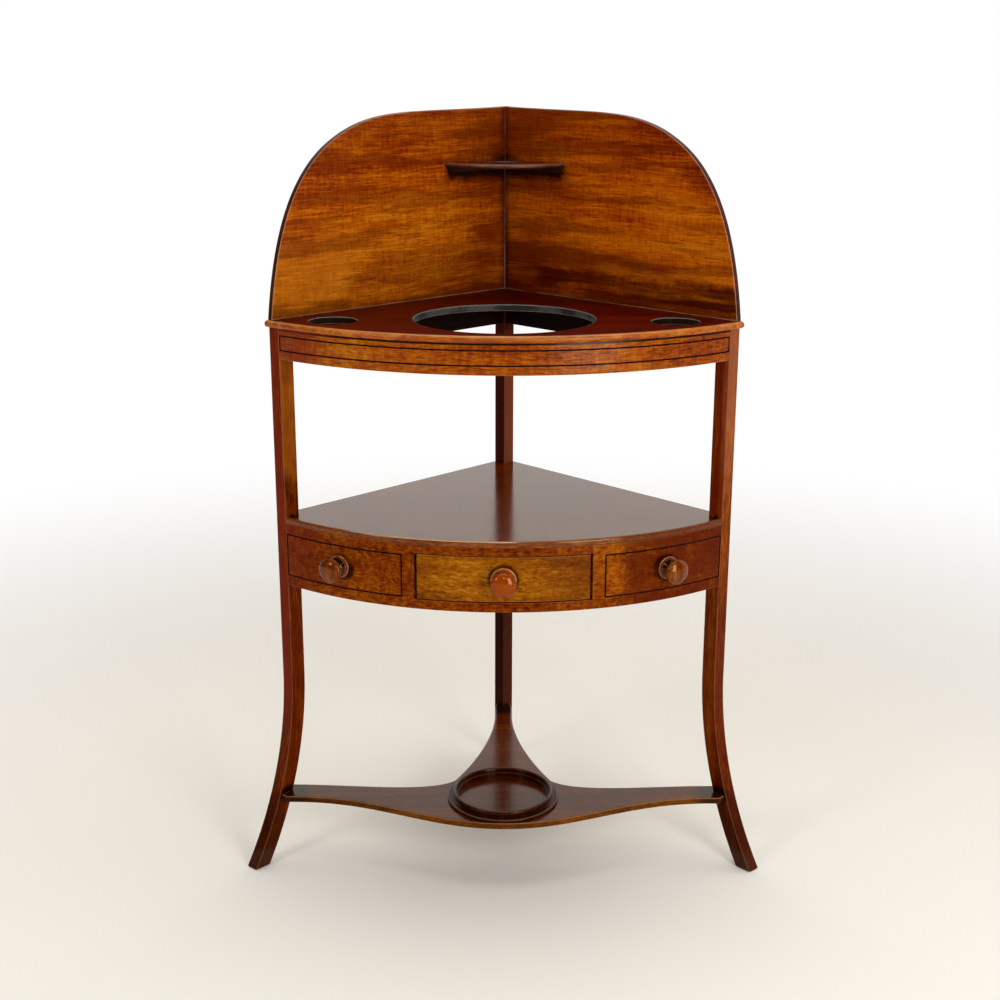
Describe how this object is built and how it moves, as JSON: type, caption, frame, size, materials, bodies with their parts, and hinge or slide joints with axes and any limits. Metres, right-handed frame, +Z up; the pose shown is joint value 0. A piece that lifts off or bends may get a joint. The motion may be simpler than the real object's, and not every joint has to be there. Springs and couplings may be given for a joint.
{
  "type": "corner washstand",
  "caption": "Bow-fronted corner washstand with curved splash panels, a basin hole and cup holes, a shelf with a drawer, and a low stretcher shelf with a ring.",
  "frame": {"origin": "on the floor, below the middle of the whole part's bounding box", "axes": "+Z up, -Y out of the bowed front, +X to the right as seen from the front; the wall corner lies on the plane X = 0 at +Y"},
  "size_m": [0.7834, 0.4952, 1.12],
  "materials": {
    "corner_shelf": "aged polished mahogany",
    "corner_shelf_cleat_left": "aged polished mahogany",
    "corner_shelf_cleat_right": "aged polished mahogany",
    "drawer_back": "bare, dry secondary wood",
    "drawer_bottom": "bare, dry secondary wood",
    "drawer_front": "aged polished mahogany",
    "drawer_guide_left": "bare, dry secondary wood",
    "drawer_guide_right": "bare, dry secondary wood",
    "drawer_kicker_left": "bare, dry secondary wood",
    "drawer_kicker_right": "bare, dry secondary wood",
    "drawer_knob": "aged polished mahogany",
    "drawer_nail_left": "dull, darkened iron",
    "drawer_nail_middle": "dull, darkened iron",
    "drawer_nail_right": "dull, darkened iron",
    "drawer_rail_lower": "aged polished mahogany",
    "drawer_rail_upper": "aged polished mahogany",
    "drawer_runner_left": "bare, dry secondary wood",
    "drawer_runner_right": "bare, dry secondary wood",
    "drawer_side_left": "bare, dry secondary wood",
    "drawer_side_right": "bare, dry secondary wood",
    "drawer_stop_left": "bare, dry secondary wood",
    "drawer_stop_right": "bare, dry secondary wood",
    "dummy_knob_left": "aged polished mahogany",
    "dummy_knob_right": "aged polished mahogany",
    "ewer_ring": "aged polished mahogany",
    "frieze_block_left": "aged polished mahogany",
    "frieze_block_right": "aged polished mahogany",
    "frieze_stringing_left": "black-stained string, polished with the wood round it",
    "frieze_stringing_right": "black-stained string, polished with the wood round it",
    "front_leg_left": "aged polished mahogany",
    "front_leg_right": "aged polished mahogany",
    "rear_post": "aged polished mahogany",
    "shelf_back_rail_left": "dark stained, thinly polished",
    "shelf_back_rail_right": "dark stained, thinly polished",
    "shelf_block_left": "bare, dry secondary wood",
    "shelf_block_right": "bare, dry secondary wood",
    "shelf_board": "aged polished mahogany",
    "splash_screw_front_left": "dull, darkened iron",
    "splash_screw_front_right": "dull, darkened iron",
    "splash_screw_middle_left": "dull, darkened iron",
    "splash_screw_middle_right": "dull, darkened iron",
    "splash_screw_rear_left": "dull, darkened iron",
    "splash_screw_rear_right": "dull, darkened iron",
    "splashback_left": "aged polished mahogany",
    "splashback_right": "aged polished mahogany",
    "stretcher_shelf": "aged polished mahogany",
    "top_back_rail_left": "dark stained, thinly polished",
    "top_back_rail_right": "dark stained, thinly polished",
    "top_block_bow_left": "bare, dry secondary wood",
    "top_block_bow_right": "bare, dry secondary wood",
    "top_block_front_left": "bare, dry secondary wood",
    "top_block_front_right": "bare, dry secondary wood",
    "top_block_rear_left": "bare, dry secondary wood",
    "top_block_rear_right": "bare, dry secondary wood",
    "top_board": "aged polished mahogany",
    "top_frieze": "aged polished mahogany",
    "top_frieze_stringing": "black-stained string, polished with the wood round it"
  },
  "bodies": {
    "frame": {"corner_shelf": "corner_shelf", "corner_shelf_cleat_left": "corner_shelf_cleat_left", "corner_shelf_cleat_right": "corner_shelf_cleat_right", "drawer_guide_left": "drawer_guide_left", "drawer_guide_right": "drawer_guide_right", "drawer_kicker_left": "drawer_kicker_left", "drawer_kicker_right": "drawer_kicker_right", "drawer_rail_lower": "drawer_rail_lower", "drawer_rail_upper": "drawer_rail_upper", "drawer_runner_left": "drawer_runner_left", "drawer_runner_right": "drawer_runner_right", "drawer_stop_left": "drawer_stop_left", "drawer_stop_right": "drawer_stop_right", "dummy_knob_left": "dummy_knob_left", "dummy_knob_right": "dummy_knob_right", "ewer_ring": "ewer_ring", "frieze_block_left": "frieze_block_left", "frieze_block_right": "frieze_block_right", "frieze_stringing_left": "frieze_stringing_left", "frieze_stringing_right": "frieze_stringing_right", "front_leg_left": "front_leg_left", "front_leg_right": "front_leg_right", "rear_post": "rear_post", "shelf_back_rail_left": "shelf_back_rail_left", "shelf_back_rail_right": "shelf_back_rail_right", "shelf_block_left": "shelf_block_left", "shelf_block_right": "shelf_block_right", "shelf_board": "shelf_board", "splash_screw_front_left": "splash_screw_front_left", "splash_screw_front_right": "splash_screw_front_right", "splash_screw_middle_left": "splash_screw_middle_left", "splash_screw_middle_right": "splash_screw_middle_right", "splash_screw_rear_left": "splash_screw_rear_left", "splash_screw_rear_right": "splash_screw_rear_right", "splashback_left": "splashback_left", "splashback_right": "splashback_right", "stretcher_shelf": "stretcher_shelf", "top_back_rail_left": "top_back_rail_left", "top_back_rail_right": "top_back_rail_right", "top_block_bow_left": "top_block_bow_left", "top_block_bow_right": "top_block_bow_right", "top_block_front_left": "top_block_front_left", "top_block_front_right": "top_block_front_right", "top_block_rear_left": "top_block_rear_left", "top_block_rear_right": "top_block_rear_right", "top_board": "top_board", "top_frieze": "top_frieze", "top_frieze_stringing": "top_frieze_stringing"},
    "drawer": {"drawer_back": "drawer_back", "drawer_bottom": "drawer_bottom", "drawer_front": "drawer_front", "drawer_knob": "drawer_knob", "drawer_nail_left": "drawer_nail_left", "drawer_nail_middle": "drawer_nail_middle", "drawer_nail_right": "drawer_nail_right", "drawer_side_left": "drawer_side_left", "drawer_side_right": "drawer_side_right"}
  },
  "joints": [
    {"name": "drawer_slide", "type": "slide", "parent": "frame", "child": "drawer", "axis": [0, -1, 0], "range_m": [0, 0.18]}
  ]
}
